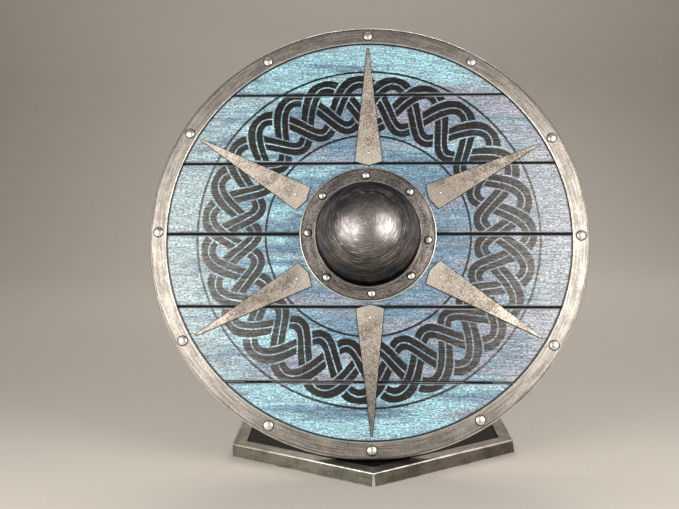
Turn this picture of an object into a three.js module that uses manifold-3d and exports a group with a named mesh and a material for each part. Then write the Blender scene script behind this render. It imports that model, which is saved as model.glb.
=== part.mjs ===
// A round wooden shield with a steel rim, a domed boss and six spikes.
// It leans back in a hexagonal steel stand.
// Millimetres, +Z up, and the shield's face looks towards -Y.
// The origin lies on the ground under the middle of the stand.

import * as THREE from 'three';
import { ConvexGeometry } from 'three/addons/geometries/ConvexGeometry.js';
import { mergeVertices } from 'three/addons/utils/BufferGeometryUtils.js';
import Module from 'manifold-3d';

const wasm = await Module();
wasm.setup();

const INCH = 25.4;
const GAP = 0.3; // left between two pieces that touch
const DEGREE = Math.PI / 180;

// ---------------------------------------------------------------- driving dimensions

// The shield is drawn in a frame of its own: X to the right, Y back through the boards, Z up its face.
// Y is 0 on the boards' front, and angles run clockwise from the top, as seen from the front.
const SHIELD_RADIUS = 12 * INCH;
const SHIELD_LEAN = 17 * DEGREE; // the top lies back
const SHIELD_TURN = 1.2 * DEGREE; // how far it has rolled round in its stand
const SHIELD_AHEAD = 99.3; // from the stand's middle forward to the shield's centre

const BOARD_COUNT = 6;
const BOARD_WIDTH = 4 * INCH;
const BOARD_THICKNESS = 12;
const BOARD_JOINT = 0.8; // open joint between two boards
const BOARD_CHAMFER = 1.4; // along the front edges
const HAND_HOLE_RADIUS = 60;

const RIM_SHEET = 2;
const RIM_FRONT_WIDTH = 23.5;
const RIM_BACK_WIDTH = 22;
const RIM_FRONT_ROUND = 3;
const RIM_BACK_ROUND = 1.5;
const RIM_SEGMENTS = 96;

const RIM_RIVET_COUNT = 12;
const RIM_RIVET_CIRCLE = 292.5;
const RIM_RIVET_RADIUS = 6.5;
const RIM_RIVET_HEIGHT = 3.6;
const RIM_RIVET_DRIFT = [0, 0.5, 2, 0.5, 1.5, -0.5, -1, -3, -0.5, 0.5, 0, 0.5]; // degrees off an even spacing

const BOSS_SHEET = 2.4;
const BOSS_FLANGE_RADIUS = 95;
const BOSS_DOME_RADIUS = 72;
const BOSS_FLANGE_CHAMFER = 0.7;
const BOSS_SEGMENTS = 48;

const BOSS_RIVET_COUNT = 8;
const BOSS_RIVET_CIRCLE = 83.5;
const BOSS_RIVET_RADIUS = 4.8;
const BOSS_RIVET_HEIGHT = 3.2;
const BOSS_RIVET_DRIFT = [-2, -0.5, 6, 0, -3.5, -2, 1, -4.5]; // degrees off an even spacing

const SPIKE_COUNT = 6;
const SPIKE_SHEET = 2;
const SPIKE_INNER_RADIUS = 98.5; // the point of the shallow V at its inner end
const SPIKE_SHOULDER = 5.5; // from that point out to the two corners
const SPIKE_TIP_RADIUS = 274;
const SPIKE_WIDTH = 1.5 * INCH;
const SPIKE_TIP_WIDTH = 1.4;
const SPIKE_TIP_DRIFT = [0, 2, 1.5, -1, -1, 0]; // degrees off an even spacing
const SPIKE_FOOT_DRIFT = [0.5, -0.5, 1, -1.5, -3.5, -1]; // a spike doesn't point quite at the centre
const SPIKE_PIN_RADIUS = 1.8;
const SPIKE_PIN_HEIGHT = 1;
const SPIKE_PIN_FROM_FOOT = 18;

const BATTEN_OFFSET = 150;
const BATTEN_WIDTH = 36;
const BATTEN_THICKNESS = 12;
const BATTEN_CHAMFER = 3;
const BATTEN_HALF_LENGTH = 225;

const GRIP_HALF_LENGTH = 270;
const GRIP_WIDTH = 40;
const GRIP_WAIST_WIDTH = 28;
const GRIP_WAIST_THICKNESS = 22;
const GRIP_WAIST_HALF_LENGTH = 52;
const GRIP_SHOULDER_HALF_LENGTH = 78;

const STAND_SIDE = 9 * INCH; // of the hexagon, along the outer top edge
const STAND_CORNERS = 6;
const BAR_HEIGHT = 18;
const BAR_WIDTH = 19; // across the top
const BAR_FLARE = 2.5; // the outer face's foot stands out this far
const PANEL_RECESS = 2.5; // below the frame's top
const PANEL_THICKNESS = 12;

const PROP_BAR = 0.75 * INCH;
const HEAD_BAR_LENGTH = 340;
const HEAD_BAR_BELOW = 130; // below the shield's centre, along its back
const FOOT_PLATE = { width: 100, depth: 80, thickness: 5, ahead: 7 };

// ---------------------------------------------------------------- places worked out from them

const boardRadius = SHIELD_RADIUS - RIM_SHEET - GAP;
const rimFront = -GAP - RIM_SHEET;
const rimBack = BOARD_THICKNESS + GAP + RIM_SHEET;
const bossFront = -GAP - BOSS_SHEET;
const spikeFront = -GAP - SPIKE_SHEET;
const battenBack = BOARD_THICKNESS + GAP + BATTEN_THICKNESS;
const panelTop = BAR_HEIGHT - PANEL_RECESS;

// The shield's lowest point is the rim's back edge, which stands on the panel.
const rimReachDown =
  (SHIELD_RADIUS - RIM_BACK_ROUND) * Math.cos(SHIELD_LEAN) +
  (rimBack - RIM_BACK_ROUND) * Math.sin(SHIELD_LEAN) +
  RIM_BACK_ROUND;
const shieldCentre = new THREE.Vector3(0, -SHIELD_AHEAD, panelTop + GAP + rimReachDown);

// ---------------------------------------------------------------- materials

const metal = (color, roughness) => new THREE.MeshStandardMaterial({ color, roughness, metalness: 1 });
const brushedSteel = () => metal(0x9b9893, 0.38);
const rivetSteel = () => metal(0xc9c7c3, 0.2);
const bossSteel = () => metal(0x4a4847, 0.35);
const spikeSteel = () => metal(0xa89f94, 0.45);
const bluePaint = () => new THREE.MeshStandardMaterial({ color: 0x5f93a8, roughness: 0.6, metalness: 0 });
const bareWood = () => new THREE.MeshStandardMaterial({ color: 0x7a5a3c, roughness: 0.7, metalness: 0 });
const blackGloss = () => new THREE.MeshStandardMaterial({ color: 0x0b0b0c, roughness: 0.12, metalness: 0 });

// ---------------------------------------------------------------- helpers

/** Adds a named piece to a group and returns it. */
function addPiece(group, name, geometry, material) {
  const mesh = new THREE.Mesh(geometry, material);
  mesh.name = name;
  group.add(mesh);
  return mesh;
}

/** Points along an arc, from one angle to another, both ends included. */
function arc(centreX, centreY, radius, from, to, steps) {
  return Array.from({ length: steps + 1 }, (_, i) => {
    const angle = from + ((to - from) * i) / steps;
    return new THREE.Vector2(centreX + radius * Math.cos(angle), centreY + radius * Math.sin(angle));
  });
}

const points = (...pairs) => pairs.map(([x, y]) => new THREE.Vector2(x, y));

/** A closed mesh as a solid that can be cut and joined. */
function solidOf(geometry) {
  const bare = geometry.index ? geometry.toNonIndexed() : geometry.clone();
  bare.deleteAttribute('normal');
  bare.deleteAttribute('uv');
  const merged = mergeVertices(bare, 1e-3);
  return new wasm.Manifold(
    new wasm.Mesh({
      numProp: 3,
      vertProperties: new Float32Array(merged.attributes.position.array),
      triVerts: new Uint32Array(merged.index.array),
    }),
  );
}

/** The mesh of a solid after its cuts. */
function geometryOf(solid) {
  const mesh = solid.getMesh();
  const geometry = new THREE.BufferGeometry();
  geometry.setAttribute('position', new THREE.BufferAttribute(new Float32Array(mesh.vertProperties), 3));
  geometry.setIndex(new THREE.BufferAttribute(new Uint32Array(mesh.triVerts), 1));
  return geometry;
}

/** A flat outline given thickness along +Z. */
const extrude = (outline, depth) =>
  new THREE.ExtrudeGeometry(new THREE.Shape(outline), { depth, bevelEnabled: false });

/** A section in (Z, Y), run along X and centred on X = 0. */
function runAlongX(section, length) {
  const outline = section.map((p) => new THREE.Vector2(-p.x, p.y));
  return extrude(outline, length).rotateY(Math.PI / 2).translate(-length / 2, 0, 0);
}

/** A section in (X, Y), run along Z and centred on Z = 0. */
const runAlongZ = (section, length) => extrude(section, length).translate(0, 0, -length / 2);

/** An outline in (X, Z), run forward from Y = 0 to Y = -depth. */
const runForward = (outline, depth) => extrude(outline, depth).rotateX(Math.PI / 2);

/** A domed head on Y = 0 that stands forward, towards -Y. */
function domedHead(radius, height, steps, segments) {
  const sphere = (radius * radius + height * height) / (2 * height);
  const crown = Math.acos((sphere - height) / sphere);
  const cap = Array.from({ length: steps + 1 }, (_, i) => {
    const angle = (crown * i) / steps;
    return new THREE.Vector2(sphere * Math.sin(angle), sphere - height - sphere * Math.cos(angle));
  });
  return new THREE.LatheGeometry([...cap, new THREE.Vector2(0, 0)], segments);
}

/** The angle of one of count pieces set round the shield, with its own drift in degrees. */
const clockAngle = (index, count, drift) => (2 * Math.PI * index) / count + drift * DEGREE;

/** Sets a piece at a clock angle and radius, with its base at the given depth. */
function setOnFace(mesh, angle, radius, depth) {
  mesh.position.set(radius * Math.sin(angle), depth, radius * Math.cos(angle));
}

// ---------------------------------------------------------------- the shield's face

function boardGeometry(index) {
  const top = SHIELD_RADIUS - index * BOARD_WIDTH - BOARD_JOINT / 2;
  const bottom = SHIELD_RADIUS - (index + 1) * BOARD_WIDTH + BOARD_JOINT / 2;
  const section = points(
    [bottom, BOARD_CHAMFER],
    [bottom + BOARD_CHAMFER, 0],
    [top - BOARD_CHAMFER, 0],
    [top, BOARD_CHAMFER],
    [top, BOARD_THICKNESS],
    [bottom, BOARD_THICKNESS],
  );
  const depth = 4 * BOARD_THICKNESS;
  const drum = (radius, sides) => solidOf(new THREE.CylinderGeometry(radius, radius, depth, sides));
  const plank = solidOf(runAlongX(section, 2 * SHIELD_RADIUS));
  const rounded = plank.intersect(drum(boardRadius, RIM_SEGMENTS));
  return geometryOf(rounded.subtract(drum(HAND_HOLE_RADIUS, BOSS_SEGMENTS)));
}

function addBoards(face) {
  for (let i = 0; i < BOARD_COUNT; i++) {
    addPiece(face, `board_${i + 1}`, boardGeometry(i), bluePaint());
  }
}

/** The rim is one channel of sheet steel: the front flange, the edge and the back flange. */
function addRim(face) {
  const inside = SHIELD_RADIUS - RIM_SHEET;
  const frontLip = SHIELD_RADIUS - RIM_FRONT_WIDTH;
  const backLip = SHIELD_RADIUS - RIM_BACK_WIDTH;
  const frontRound = arc(
    SHIELD_RADIUS - RIM_FRONT_ROUND, rimFront + RIM_FRONT_ROUND, RIM_FRONT_ROUND, -Math.PI / 2, 0, 3);
  const backRound = arc(
    SHIELD_RADIUS - RIM_BACK_ROUND, rimBack - RIM_BACK_ROUND, RIM_BACK_ROUND, 0, Math.PI / 2, 2);
  const profile = [
    ...points([frontLip, -GAP], [frontLip, rimFront]),
    ...frontRound,
    ...backRound,
    ...points([backLip, rimBack], [backLip, rimBack - RIM_SHEET], [inside, rimBack - RIM_SHEET]),
    ...points([inside, -GAP], [frontLip, -GAP]),
  ];
  addPiece(face, 'rim', new THREE.LatheGeometry(profile, RIM_SEGMENTS), brushedSteel());
}

function addRimRivets(face) {
  for (let i = 0; i < RIM_RIVET_COUNT; i++) {
    const head = domedHead(RIM_RIVET_RADIUS, RIM_RIVET_HEIGHT, 3, 12);
    const rivet = addPiece(face, `rim_rivet_${i + 1}`, head, rivetSteel());
    const angle = clockAngle(i, RIM_RIVET_COUNT, RIM_RIVET_DRIFT[i]);
    setOnFace(rivet, angle, RIM_RIVET_CIRCLE, rimFront - GAP);
  }
}

/** The boss is one spun piece of even thickness: a flat flange and a hollow half-round dome. */
function addBoss(face) {
  const back = -GAP;
  const outerDome = arc(0, bossFront, BOSS_DOME_RADIUS, 0, -Math.PI / 2, 10);
  const innerDome = arc(0, bossFront, BOSS_DOME_RADIUS - BOSS_SHEET, -Math.PI / 2, 0, 7);
  outerDome.at(-1).x = 0;
  innerDome[0].x = 0;
  const profile = [
    ...innerDome,
    ...points([BOSS_DOME_RADIUS - BOSS_SHEET, back], [BOSS_FLANGE_RADIUS, back]),
    ...points([BOSS_FLANGE_RADIUS, bossFront + BOSS_FLANGE_CHAMFER]),
    ...points([BOSS_FLANGE_RADIUS - BOSS_FLANGE_CHAMFER, bossFront]),
    ...outerDome,
  ].reverse();
  addPiece(face, 'boss', new THREE.LatheGeometry(profile, BOSS_SEGMENTS), bossSteel());
}

function addBossRivets(face) {
  for (let i = 0; i < BOSS_RIVET_COUNT; i++) {
    const head = domedHead(BOSS_RIVET_RADIUS, BOSS_RIVET_HEIGHT, 3, 12);
    const rivet = addPiece(face, `boss_rivet_${i + 1}`, head, rivetSteel());
    const angle = clockAngle(i, BOSS_RIVET_COUNT, BOSS_RIVET_DRIFT[i]);
    setOnFace(rivet, angle, BOSS_RIVET_CIRCLE, bossFront - GAP);
  }
}

/** A spike's outline from Z = 0 up: a shallow V, two corners and straight sides to a needle tip. */
function spikeOutline(length) {
  const half = SPIKE_WIDTH / 2;
  const tip = SPIKE_TIP_WIDTH / 2;
  return points([0, 0], [half, SPIKE_SHOULDER], [tip, length], [-tip, length], [-half, SPIKE_SHOULDER]);
}

/** Each spike is a flat plate that runs from its foot beside the boss to its tip near the rim. */
function addSpikes(face) {
  for (let i = 0; i < SPIKE_COUNT; i++) {
    const footAngle = clockAngle(i, SPIKE_COUNT, SPIKE_FOOT_DRIFT[i]);
    const tipAngle = clockAngle(i, SPIKE_COUNT, SPIKE_TIP_DRIFT[i]);
    const run = new THREE.Vector2(
      SPIKE_TIP_RADIUS * Math.sin(tipAngle) - SPIKE_INNER_RADIUS * Math.sin(footAngle),
      SPIKE_TIP_RADIUS * Math.cos(tipAngle) - SPIKE_INNER_RADIUS * Math.cos(footAngle),
    );
    const heading = Math.atan2(run.x, run.y);
    const plate = runForward(spikeOutline(run.length()), SPIKE_SHEET);
    const spike = addPiece(face, `spike_${i + 1}`, plate, spikeSteel());
    setOnFace(spike, footAngle, SPIKE_INNER_RADIUS, -GAP);
    spike.rotation.y = heading;

    const head = domedHead(SPIKE_PIN_RADIUS, SPIKE_PIN_HEIGHT, 2, 8);
    const pin = addPiece(face, `spike_pin_${i + 1}`, head, rivetSteel());
    setOnFace(pin, footAngle, SPIKE_INNER_RADIUS, spikeFront - GAP);
    pin.position.x += SPIKE_PIN_FROM_FOOT * Math.sin(heading);
    pin.position.z += SPIKE_PIN_FROM_FOOT * Math.cos(heading);
  }
}

// ---------------------------------------------------------------- the shield's back

function addBattens(face) {
  const half = BATTEN_WIDTH / 2;
  const section = points(
    [-half, BOARD_THICKNESS + GAP],
    [half, BOARD_THICKNESS + GAP],
    [half, battenBack - BATTEN_CHAMFER],
    [half - BATTEN_CHAMFER, battenBack],
    [BATTEN_CHAMFER - half, battenBack],
    [-half, battenBack - BATTEN_CHAMFER],
  );
  for (const [name, side] of [['batten_left', -1], ['batten_right', 1]]) {
    const geometry = runAlongZ(section, 2 * BATTEN_HALF_LENGTH).translate(side * BATTEN_OFFSET, 0, 0);
    addPiece(face, name, geometry, bareWood());
  }
}

/** The grip is an upright batten that narrows and thickens to a handle across the hand hole. */
function addGrip(face) {
  const waistBack = BOARD_THICKNESS + GAP + GRIP_WAIST_THICKNESS;
  const side = points(
    [-GRIP_HALF_LENGTH, BOARD_THICKNESS + GAP],
    [GRIP_HALF_LENGTH, BOARD_THICKNESS + GAP],
    [GRIP_HALF_LENGTH, battenBack],
    [GRIP_SHOULDER_HALF_LENGTH, battenBack],
    [GRIP_WAIST_HALF_LENGTH, waistBack],
    [-GRIP_WAIST_HALF_LENGTH, waistBack],
    [-GRIP_SHOULDER_HALF_LENGTH, battenBack],
    [-GRIP_HALF_LENGTH, battenBack],
  );
  const wide = GRIP_WIDTH / 2;
  const waist = GRIP_WAIST_WIDTH / 2;
  const rightEdge = [
    [wide, -GRIP_HALF_LENGTH],
    [wide, -GRIP_SHOULDER_HALF_LENGTH],
    [waist, -GRIP_WAIST_HALF_LENGTH],
    [waist, GRIP_WAIST_HALF_LENGTH],
    [wide, GRIP_SHOULDER_HALF_LENGTH],
    [wide, GRIP_HALF_LENGTH],
  ];
  const leftEdge = rightEdge.map(([x, z]) => [-x, z]).reverse();
  const front = runForward(points(...rightEdge, ...leftEdge), 3 * waistBack).translate(0, 2 * waistBack, 0);
  const grip = solidOf(runAlongX(side, 2 * GRIP_WIDTH)).intersect(solidOf(front));
  addPiece(face, 'grip', geometryOf(grip), bareWood());
}

// ---------------------------------------------------------------- the stand

const PER_APOTHEM = 1 / Math.cos(Math.PI / STAND_CORNERS);
const frameInside = STAND_SIDE - BAR_WIDTH * PER_APOTHEM;

/** A point on a hexagon with a corner to the front, moved sideways along the hexagon's side. */
function hexagonPoint(radius, corner, height, sideways) {
  const angle = -Math.PI / 2 + (corner * 2 * Math.PI) / STAND_CORNERS;
  const along = ((corner + Math.sign(sideways) / 2) * 2 * Math.PI) / STAND_CORNERS;
  return new THREE.Vector3(
    radius * Math.cos(angle) + sideways * Math.cos(along),
    radius * Math.sin(angle) + sideways * Math.sin(along),
    height,
  );
}

/** One mitred bar of the frame, from a corner to the next; its outer face is flared at the foot. */
function frameBar(corner) {
  const foot = STAND_SIDE + BAR_FLARE * PER_APOTHEM;
  const section = [
    [frameInside, 0],
    [foot, 0],
    [STAND_SIDE, BAR_HEIGHT],
    [frameInside, BAR_HEIGHT],
  ];
  const setBack = (GAP / 2) * PER_APOTHEM; // leaves the gap across the mitre
  const start = section.map(([radius, height]) => hexagonPoint(radius, corner, height, setBack));
  const end = section.map(([radius, height]) => hexagonPoint(radius, corner + 1, height, -setBack));
  return new ConvexGeometry([...start, ...end]);
}

/** A hexagonal slab with a corner to the front. */
function hexagonalSlab(radius, bottom, top) {
  const outline = Array.from({ length: STAND_CORNERS }, (_, i) => hexagonPoint(radius, i, 0, 0));
  return extrude(outline.map((p) => new THREE.Vector2(p.x, p.y)), top - bottom).translate(0, 0, bottom);
}

function addStand(stand) {
  for (let i = 0; i < STAND_CORNERS; i++) {
    addPiece(stand, `stand_bar_${i + 1}`, frameBar(i), brushedSteel());
  }
  const panel = hexagonalSlab(frameInside - GAP * PER_APOTHEM, panelTop - PANEL_THICKNESS, panelTop);
  addPiece(stand, 'stand_panel', panel, blackGloss());
}

/** The prop leans with the shield: a post on a foot plate, and a head bar that the battens rest on. */
function addProp(stand) {
  const sine = Math.sin(SHIELD_LEAN);
  const cosine = Math.cos(SHIELD_LEAN);
  const front = battenBack + GAP;
  const back = front + PROP_BAR;
  const plateTop = panelTop + GAP + FOOT_PLATE.thickness;

  /** Where a line at the given depth behind the boards passes the given distance up the shield's back. */
  const onBack = (depth, up) => [
    shieldCentre.y + depth * cosine + up * sine,
    shieldCentre.z - depth * sine + up * cosine,
  ];
  /** How far up the back that line is when it meets the foot plate. */
  const footOf = (depth) => (plateTop + GAP - shieldCentre.z + depth * sine) / cosine;
  const postTop = -HEAD_BAR_BELOW - PROP_BAR / 2 - GAP;
  const post = [
    onBack(front, footOf(front)),
    onBack(back, footOf(back)),
    onBack(back, postTop),
    onBack(front, postTop),
  ].map(([y, z]) => [z, y]);
  addPiece(stand, 'stand_post', runAlongX(points(...post), PROP_BAR), brushedSteel());

  const bar = new THREE.BoxGeometry(HEAD_BAR_LENGTH, PROP_BAR, PROP_BAR);
  const headBar = addPiece(stand, 'stand_head_bar', bar, brushedSteel());
  const [barY, barZ] = onBack((front + back) / 2, -HEAD_BAR_BELOW);
  headBar.position.set(0, barY, barZ);
  headBar.rotation.x = -SHIELD_LEAN;

  const plate = new THREE.BoxGeometry(FOOT_PLATE.width, FOOT_PLATE.depth, FOOT_PLATE.thickness);
  const footPlate = addPiece(stand, 'stand_foot_plate', plate, brushedSteel());
  const postFoot = onBack(front, footOf(front))[0];
  footPlate.position.set(
    0,
    postFoot - FOOT_PLATE.ahead + FOOT_PLATE.depth / 2,
    plateTop - FOOT_PLATE.thickness / 2,
  );
}

// ---------------------------------------------------------------- the whole object

const face = new THREE.Group();
face.rotation.y = SHIELD_TURN;
addBoards(face);
addRim(face);
addRimRivets(face);
addBoss(face);
addBossRivets(face);
addSpikes(face);
addBattens(face);
addGrip(face);

const shield = new THREE.Group();
shield.position.copy(shieldCentre);
shield.rotation.x = -SHIELD_LEAN;
shield.add(face);

const stand = new THREE.Group();
addStand(stand);
addProp(stand);

const shieldOnStand = new THREE.Group();
shieldOnStand.add(shield, stand);

export default shieldOnStand;
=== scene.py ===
"""Dresses the round shield and its stand. Metres, +Z up, the shield's face towards -Y."""

from math import acos, asin, cos, degrees, pi, radians, sin

import bmesh
import bpy
from mathutils import Matrix, Vector


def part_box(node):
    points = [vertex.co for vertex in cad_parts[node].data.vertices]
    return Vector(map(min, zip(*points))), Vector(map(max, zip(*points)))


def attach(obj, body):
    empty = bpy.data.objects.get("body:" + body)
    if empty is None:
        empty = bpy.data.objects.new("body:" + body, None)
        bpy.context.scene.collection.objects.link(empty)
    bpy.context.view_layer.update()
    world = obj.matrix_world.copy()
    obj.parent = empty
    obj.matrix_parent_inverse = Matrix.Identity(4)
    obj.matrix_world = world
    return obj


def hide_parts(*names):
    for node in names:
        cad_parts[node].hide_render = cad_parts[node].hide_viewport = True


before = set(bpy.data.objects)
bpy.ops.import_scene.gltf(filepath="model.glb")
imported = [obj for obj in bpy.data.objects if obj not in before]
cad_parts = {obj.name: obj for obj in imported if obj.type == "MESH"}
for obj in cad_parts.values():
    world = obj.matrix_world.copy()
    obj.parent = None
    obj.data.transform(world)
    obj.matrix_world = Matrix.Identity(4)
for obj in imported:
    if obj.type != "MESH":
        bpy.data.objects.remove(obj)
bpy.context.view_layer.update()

# ------------------------------------------------------------------ sizes and places

MM = 0.001
INCH = 25.4 * MM
GAP = 0.3 * MM  # left between two pieces that touch

# The shield has a frame of its own: X right, Y back through the boards, Z up its face.
SHIELD_LEAN = radians(17)
SHIELD_TURN = radians(1.2)
SHIELD_RADIUS = 12 * INCH
SHIELD_AHEAD = 99.3 * MM
BOARD_COUNT = 6
BOARD_WIDTH = 4 * INCH
BOARD_THICKNESS = 12 * MM

RIM_SHEET = 2 * MM
RIM_WIDTH = 23.5 * MM
RIM_BACK_WIDTH = 22 * MM
RIM_FRONT = -GAP - RIM_SHEET
RIM_BACK = BOARD_THICKNESS + GAP + RIM_SHEET
RIM_FRONT_ROUND = 3 * MM
RIM_BACK_ROUND = 1.5 * MM
RIM_LIP = SHIELD_RADIUS - RIM_WIDTH
RIM_LIP_ROUND = 1.2 * MM
RIM_BACK_LIP_ROUND = 0.5 * MM

BOSS_SHEET = 2.4 * MM
BOSS_FRONT = -GAP - BOSS_SHEET
BOSS_FLANGE_RADIUS = 95 * MM
BOSS_DOME_RADIUS = 72 * MM
BOSS_HOLLOW = 3 * MM
BOSS_EDGE_ROUND = 1.3 * MM
BOSS_GROOVE_RADIUS = 45 * MM

RIM_RIVET_COUNT = 12
RIM_RIVET_RADIUS = 6.5 * MM
RIM_SHADOW_RING_WIDTH = 1 * MM
BOSS_RIVET_COUNT = 8
BOSS_RIVET_RADIUS = 4.8 * MM
BOSS_SHADOW_RING_WIDTH = 1.3 * MM
GRIP_RIVETS = (1, 5)  # these two of the boss's rivets go through the grip as well
RIVET_HEIGHT = 3.2 * MM
RIVET_SHOULDER_SHARE = 0.3  # of the head's radius, as the next
PEENED_RADIUS_SHARE = 0.6
PEENED_HEIGHT_SHARE = 0.4  # of the head's height
PEENED_GAP = 0.1 * MM
RING_PLAY = 0.02 * MM  # between a rivet's head and the ring of painted shadow round it
RING_GAP = 0.05 * MM  # between that ring and the steel under it
RING_THICKNESS = 0.12 * MM

SPIKE_COUNT = 6
SPIKE_SHEET = 2 * MM
SPIKE_FRONT = -GAP - SPIKE_SHEET
SPIKE_EASE = 0.8 * MM
SPIKE_SHADOW_WIDTH = 0.9 * MM  # how far the painted shadow under a spike shows past its edge
SPIKE_SHADOW_DEPTH = 0.25 * MM
PIN_RADIUS = 1.8 * MM
PIN_HEIGHT = 1 * MM

GRIP_THICKNESS = 12 * MM
GRIP_BACK = BOARD_THICKNESS + GAP + GRIP_THICKNESS
WOOD_EASE = 1.2 * MM

FRAME_SIDE = 9 * INCH
FRAME_HEIGHT = 18 * MM
FRAME_WIDTH = 19 * MM
FRAME_FLARE = 2.5 * MM
FRAME_OUTSIDE = FRAME_SIDE * cos(pi / 6)
FRAME_FOOT = FRAME_OUTSIDE + FRAME_FLARE
FRAME_EASE = 1.3 * MM
PROP_EASE = 0.8 * MM

panel_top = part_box("stand_panel")[1][2]
rim_reach_down = (
    (SHIELD_RADIUS - RIM_BACK_ROUND) * cos(SHIELD_LEAN)
    + (RIM_BACK - RIM_BACK_ROUND) * sin(SHIELD_LEAN)
    + RIM_BACK_ROUND
)
shield_centre = Vector((0, -SHIELD_AHEAD, panel_top + GAP + rim_reach_down))
SHIELD_FRAME = (
    Matrix.Translation(shield_centre)
    @ Matrix.Rotation(-SHIELD_LEAN, 4, "X")
    @ Matrix.Rotation(SHIELD_TURN, 4, "Y")
)


def middle_on_shield(node):
    """The middle of a CAD node's box, in the shield's own frame."""
    low, high = (Vector(corner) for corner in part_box(node))
    return SHIELD_FRAME.inverted() @ ((low + high) / 2)


# ------------------------------------------------------------------ the maker of materials


class Wire:
    """What one node puts out. Arithmetic on it adds Math nodes."""

    def __init__(self, paint, socket):
        self.paint = paint
        self.socket = socket

    def __add__(self, other):
        return self.paint.math("ADD", self, other)

    def __sub__(self, other):
        return self.paint.math("SUBTRACT", self, other)

    def __rsub__(self, other):
        return self.paint.math("SUBTRACT", other, self)

    def __mul__(self, other):
        return self.paint.math("MULTIPLY", self, other)

    def __truediv__(self, other):
        return self.paint.math("DIVIDE", self, other)

    def __abs__(self):
        return self.paint.math("ABSOLUTE", self)

    __radd__ = __add__
    __rmul__ = __mul__


class Paint:
    """A material in the making, on one Principled shader."""

    def __init__(self, name, **constants):
        self.material = bpy.data.materials.new(name)
        self.material.use_nodes = True
        self.tree = self.material.node_tree
        self.shader = self.tree.nodes["Principled BSDF"]
        for socket, value in constants.items():
            self.set(socket.replace("_", " "), value)

    def feed(self, socket, value):
        """Links a wire to a socket, or sets the socket's own value."""
        if isinstance(value, Wire):
            self.tree.links.new(value.socket, socket)
        elif socket.type == "RGBA":
            socket.default_value = (*value, 1)
        else:
            socket.default_value = value

    def set(self, socket, value):
        self.feed(self.shader.inputs[socket], value)

    def node(self, kind, inputs, output=0, stops=(), **settings):
        """Adds any node: its settings, its ramp's stops, then its sockets."""
        made = self.tree.nodes.new("ShaderNode" + kind)
        for name, value in settings.items():
            setattr(made, name, value)
        for index, (place, colour) in enumerate(stops):
            elements = made.color_ramp.elements
            element = elements[index] if index < len(elements) else elements.new(1)
            element.position = place
            element.color = (*colour, 1)
        for name, value in inputs.items():
            self.feed(made.inputs[name], value)
        return Wire(self, made.outputs[output])

    def math(self, operation, first, second=0.0):
        return self.node("Math", {0: first, 1: second}, operation=operation)

    def largest(self, first, *others):
        for other in others:
            first = self.math("MAXIMUM", first, other)
        return first

    def vector(self, operation, first, second, output=0):
        return self.node("VectorMath", {0: first, 1: second}, output, operation=operation)

    def join(self, x, y, z):
        return self.node("CombineXYZ", {0: x, 1: y, 2: z})

    def noise(self, place, scale=1.0, detail=3.0, roughness=0.5):
        inputs = {"Vector": place, "Scale": scale, "Detail": detail, "Roughness": roughness}
        return self.node("TexNoise", inputs)

    def ease(self, value, low, high, start=0.0, end=1.0):
        """Goes smoothly from start to end as the value goes from low to high."""
        inputs = {"Value": value, "From Min": low, "From Max": high, "To Min": start, "To Max": end}
        return self.node("MapRange", inputs, interpolation_type="SMOOTHSTEP")

    def near(self, value, middle, half_width, soft):
        """1 where the value is within half_width of the middle, and 0 away from it."""
        return self.ease(abs(value - middle), half_width - soft, half_width + soft, 1, 0)

    def mix(self, factor, first, second):
        return self.node("Mix", {"Factor": factor, 6: first, 7: second}, 2, data_type="RGBA")

    def dim(self, colour, factor):
        """A colour times a number."""
        return self.node("VectorMath", {0: colour, "Scale": factor}, operation="SCALE")

    def relief(self, height, depth):
        """Bumps the surface by a height of 0 to 1 over the given depth."""
        self.set("Normal", self.node("Bump", {"Height": height, "Distance": depth}))

    def place(self):
        return self.node("TexCoord", {}, "Object")

    def along(self, place, axis):
        """How far a place lies along an axis."""
        return self.vector("DOT_PRODUCT", place, axis, "Value")

    def shield_place(self):
        """X, Y and Z in the shield's own frame."""
        arm = self.vector("SUBTRACT", self.place(), shield_centre)
        return [self.along(arm, SHIELD_FRAME.col[i].to_3d()) for i in range(3)]

    def from_axis(self, x, z):
        """How far a place is from the shield's axis."""
        return self.vector("LENGTH", self.join(x, 0.0, z), (0, 0, 0), "Value")


# ------------------------------------------------------------------ the painted boards

BRIGHT_CYAN = (0.33, 0.565, 0.65)
STEEL_BLUE = (0.155, 0.262, 0.365)
LAVENDER = (0.27, 0.30, 0.375)
PALE_GREY = (0.38, 0.415, 0.42)
LAVENDER_FADE_AND_SHEEN = (0.395, 0.415, 0.44)
NAVY = (0.035, 0.055, 0.09)
BLACK_PAINT = (0.008, 0.007, 0.006)
BLACK_WITH_PAINTED_SHEEN = (0.115, 0.107, 0.10)
# the dark of the seams, also used for the painted shade under the rim
SEAM_AND_SHADE_BLACK = (0.006, 0.006, 0.007)
BARE_BOARD = (0.14, 0.09, 0.05), (0.36, 0.26, 0.16)  # its dark and its light tone

GRAIN_WANDER = 14 * MM
OUTER_SEAMS_FINER = 0.35 * MM  # for each board away from the middle seam
PAINT_EDGE = 0.2 * MM
PAINT_RAGGED = 1.6 * MM

KNOT_RADIUS = 190 * MM
KNOT_SWING = 33 * MM
KNOT_TURNS = 9
KNOT_STRANDS = 3
STRAND_HALF_WIDTH = 9.8 * MM
STRAND_LINE = 0.9 * MM
STRAND_GAP = 2.2 * MM
INK_MIDDLE = (STRAND_HALF_WIDTH + STRAND_LINE) / 2
INK_HALF_WIDTH = (STRAND_HALF_WIDTH - STRAND_LINE) / 2
BORDER_OFF = KNOT_SWING + STRAND_HALF_WIDTH + 5 * MM
BORDER_HALF_WIDTH = 1.5 * MM
HEIGHT_MARGIN = 0.001


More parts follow.
